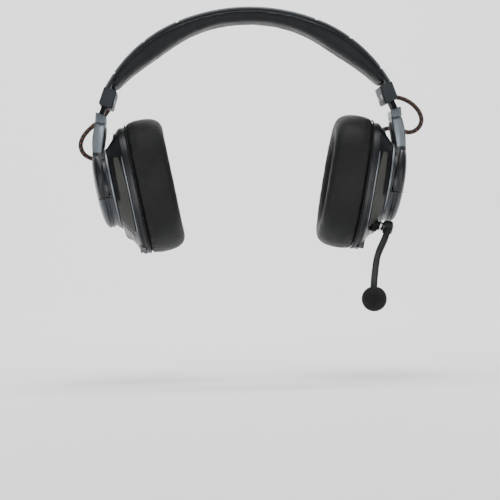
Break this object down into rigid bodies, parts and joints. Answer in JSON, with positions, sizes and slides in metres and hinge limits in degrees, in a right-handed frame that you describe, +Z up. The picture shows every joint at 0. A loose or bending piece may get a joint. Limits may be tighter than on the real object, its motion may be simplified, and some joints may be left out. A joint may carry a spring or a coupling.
{
  "type": "radio headphones",
  "caption": "Over-ear wireless headphones with a slatted padded headband, sliding and swivelling yokes, tilting oval cups and a boom microphone.",
  "frame": {"origin": "crown seat: the underside of the headband pad at the top of the head, on the middle plane", "axes": "+Z up along the wearer's head, -Y is the wearer's front, +X is the wearer's left, the side with the boom microphone"},
  "size_m": [0.2983, 0.1376, 0.2568],
  "materials": {
    "slat": "satin light grey moulded plastic",
    "cover": "fine-grained grey moulded plastic",
    "frame": "smooth pale grey plastic",
    "spring_steel": "blued spring steel",
    "headband_leather": "matt black leatherette",
    "ear_leather": "soft black leatherette",
    "wire": "red insulated wire",
    "cap": "slate blue satin plastic",
    "screw": "zinc-plated steel",
    "black_rubber": "soft black rubber",
    "braid": "black braid with orange-red flecks",
    "black_plastic": "black moulded plastic",
    "yoke_metal": "satin blue-grey lacquered metal",
    "steel": "turned steel",
    "shell_gloss": "glossy blue-black plastic",
    "disc_gloss": "glossy blue-black lacquered plastic",
    "plate": "light grey trim plastic",
    "drum": "slate semi-gloss plastic",
    "panel": "matt olive-grey panel",
    "chassis": "matt black plastic",
    "driver": "dark pressed metal",
    "scrim": "black open-weave cloth",
    "board": "green circuit board",
    "battery_wrap": "silver-grey foil wrap",
    "control": "black textured rubber",
    "port": "nickel-plated metal",
    "foam": "open-cell black foam"
  },
  "bodies": {
    "headband": {"cover_slats": "slat", "headband_cover": "cover", "band_frame": "frame", "spring_strip": "spring_steel", "headband_pad": "headband_leather", "link_wire": "wire", "end_cap_left": "cap", "end_cap_right": "cap", "end_cap_screws": "screw", "lead_sleeves": "black_rubber", "lead_left_side": "braid", "lead_right_side": "braid"},
    "slider_left_body": {"slider_left": "black_plastic", "knuckle_left": "yoke_metal", "swivel_pin_left": "steel"},
    "yoke_left_body": {"yoke_arm_left": "yoke_metal", "yoke_strip_left": "black_plastic", "yoke_disc_left": "disc_gloss", "tilt_axle_left": "steel"},
    "cup_left_body": {"cup_shell_left": "shell_gloss", "outer_plate_left": "plate", "hub_drum_left": "drum", "side_panel_left": "panel", "chassis_left": "chassis", "baffle_left": "chassis", "driver_left": "driver", "ear_pad_left": "ear_leather", "ear_scrim_left": "scrim", "circuit_board_left": "board", "cup_screws_left": "screw", "audio_jack": "port", "boom_hinge": "black_plastic"},
    "slider_right_body": {"slider_right": "black_plastic", "knuckle_right": "yoke_metal", "swivel_pin_right": "steel"},
    "yoke_right_body": {"yoke_arm_right": "yoke_metal", "yoke_strip_right": "black_plastic", "yoke_disc_right": "disc_gloss", "tilt_axle_right": "steel"},
    "cup_right_body": {"cup_shell_right": "shell_gloss", "outer_plate_right": "plate", "hub_drum_right": "drum", "side_panel_right": "panel", "chassis_right": "chassis", "baffle_right": "chassis", "driver_right": "driver", "ear_pad_right": "ear_leather", "ear_scrim_right": "scrim", "circuit_board_right": "board", "cup_screws_right": "screw", "battery": "battery_wrap", "charging_port": "port"},
    "boom": {"boom_arm": "black_rubber", "mic_capsule": "port", "foam_windscreen": "foam"},
    "volume": {"volume_wheel": "control"},
    "chat": {"chat_wheel": "control"},
    "mute": {"mute_button": "control"},
    "power": {"power_switch": "control"},
    "pair": {"pair_button": "control"}
  },
  "joints": [
    {"name": "slide_left", "type": "slide", "parent": "headband", "child": "slider_left_body", "axis": [0.3907, 0, -0.9205], "range_m": [-0.0025, 0.0155], "deforming": ["lead_left_side"]},
    {"name": "swivel_left", "type": "hinge", "parent": "slider_left_body", "child": "yoke_left_body", "pos_m": [0.1252, 0, -0.084], "axis": [-0.2079, 0, 0.9781], "range_deg": [-90, 15]},
    {"name": "tilt_left", "type": "hinge", "parent": "yoke_left_body", "child": "cup_left_body", "pos_m": [0.12433, 0, -0.1398], "axis": [0, 1, 0], "range_deg": [-7, 7]},
    {"name": "slide_right", "type": "slide", "parent": "headband", "child": "slider_right_body", "axis": [-0.3907, 0, -0.9205], "range_m": [-0.0025, 0.0155], "deforming": ["lead_right_side"]},
    {"name": "swivel_right", "type": "hinge", "parent": "slider_right_body", "child": "yoke_right_body", "pos_m": [-0.1252, 0, -0.084], "axis": [0.2079, 0, 0.9781], "range_deg": [-15, 90]},
    {"name": "tilt_right", "type": "hinge", "parent": "yoke_right_body", "child": "cup_right_body", "pos_m": [-0.12433, 0, -0.1398], "axis": [0, 1, 0], "range_deg": [-7, 7]},
    {"name": "boom_swing", "type": "hinge", "parent": "cup_left_body", "child": "boom", "pos_m": [0.11325, -0.024, -0.17689], "axis": [0.9826, 0, -0.1857], "range_deg": [-95, 8]},
    {"name": "volume_turn", "type": "hinge", "parent": "cup_left_body", "child": "volume", "pos_m": [0.10624, 0.0328, -0.13588], "axis": [0.9826, 0, -0.1857], "range_deg": [-140, 140]},
    {"name": "chat_turn", "type": "hinge", "parent": "cup_left_body", "child": "chat", "pos_m": [0.10262, 0.0328, -0.15504], "axis": [0.9826, 0, -0.1857], "range_deg": [-140, 140]},
    {"name": "mute_press", "type": "slide", "parent": "cup_left_body", "child": "mute", "axis": [0, -1, 0], "range_m": [0, 0.0008], "stiffness_N_per_m": 600},
    {"name": "power_slide", "type": "slide", "parent": "cup_right_body", "child": "power", "axis": [-0.1857, 0, 0.9826], "range_m": [0, 0.0025]},
    {"name": "pair_press", "type": "slide", "parent": "cup_right_body", "child": "pair", "axis": [0, -1, 0], "range_m": [0, 0.0008], "stiffness_N_per_m": 600}
  ]
}
